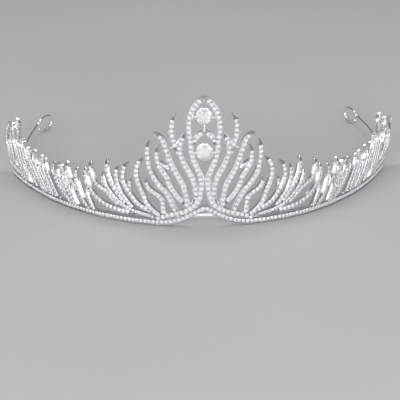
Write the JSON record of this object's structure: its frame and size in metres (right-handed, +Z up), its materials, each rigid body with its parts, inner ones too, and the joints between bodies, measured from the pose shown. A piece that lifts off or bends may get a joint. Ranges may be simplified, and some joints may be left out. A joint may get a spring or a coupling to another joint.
{
  "type": "bridal tiara",
  "caption": "Openwork bridal tiara: stone-set flame and leaf strands on a horseshoe rail, a pointed centre frame with round stones, and wire tails ending in hairpin eyes.",
  "frame": {"origin": "on the table under the middle of the bounding box, with the tiara standing on its rail", "axes": "+X to the right as seen from the front, -Y to the front, +Z up"},
  "size_m": [0.1528, 0.1473, 0.0488],
  "materials": {
    "bright_metal": "rhodium-plated, mirror polished",
    "clear_stone": "faceted round brilliant, colourless"
  },
  "bodies": {
    "root": {"blade_leaf_left": "bright_metal", "blade_leaf_right": "bright_metal", "blunt_leaf_left": "bright_metal", "blunt_leaf_right": "bright_metal", "broad_leaf_left": "bright_metal", "broad_leaf_right": "bright_metal", "centre_scroll_left": "bright_metal", "centre_scroll_right": "bright_metal", "crescent_left": "bright_metal", "crescent_right": "bright_metal", "curled_leaf_left": "bright_metal", "curled_leaf_right": "bright_metal", "end_flame_left": "bright_metal", "end_flame_right": "bright_metal", "flag_leaf_left": "bright_metal", "flag_leaf_right": "bright_metal", "folded_leaf_left": "bright_metal", "folded_leaf_right": "bright_metal", "hairpin_eye_left": "bright_metal", "hairpin_eye_right": "bright_metal", "hooked_scroll_left": "bright_metal", "hooked_scroll_right": "bright_metal", "inner_band": "bright_metal", "inner_scroll_left": "bright_metal", "inner_scroll_right": "bright_metal", "long_leaf_left": "bright_metal", "long_leaf_right": "bright_metal", "long_wave_left": "bright_metal", "long_wave_right": "bright_metal", "low_spike_left": "bright_metal", "low_spike_right": "bright_metal", "lower_setting": "bright_metal", "lower_stone": "clear_stone", "paired_leaf_left": "bright_metal", "paired_leaf_right": "bright_metal", "plain_leaf_left": "bright_metal", "plain_leaf_right": "bright_metal", "rail_left": "bright_metal", "rail_right": "bright_metal", "short_horn_left": "bright_metal", "short_horn_right": "bright_metal", "side_leaf_left": "bright_metal", "side_leaf_right": "bright_metal", "solder_bead_left": "bright_metal", "solder_bead_right": "bright_metal", "split_wave_left": "bright_metal", "split_wave_right": "bright_metal", "tail_wire_left": "bright_metal", "tail_wire_right": "bright_metal", "tall_horn_left": "bright_metal", "tall_horn_right": "bright_metal", "tall_leaf_left": "bright_metal", "tall_leaf_right": "bright_metal", "twin_leaf_left": "bright_metal", "twin_leaf_right": "bright_metal", "upper_setting": "bright_metal", "upper_stone": "clear_stone", "winged_leaf_left": "bright_metal", "winged_leaf_right": "bright_metal"}
  },
  "joints": []
}
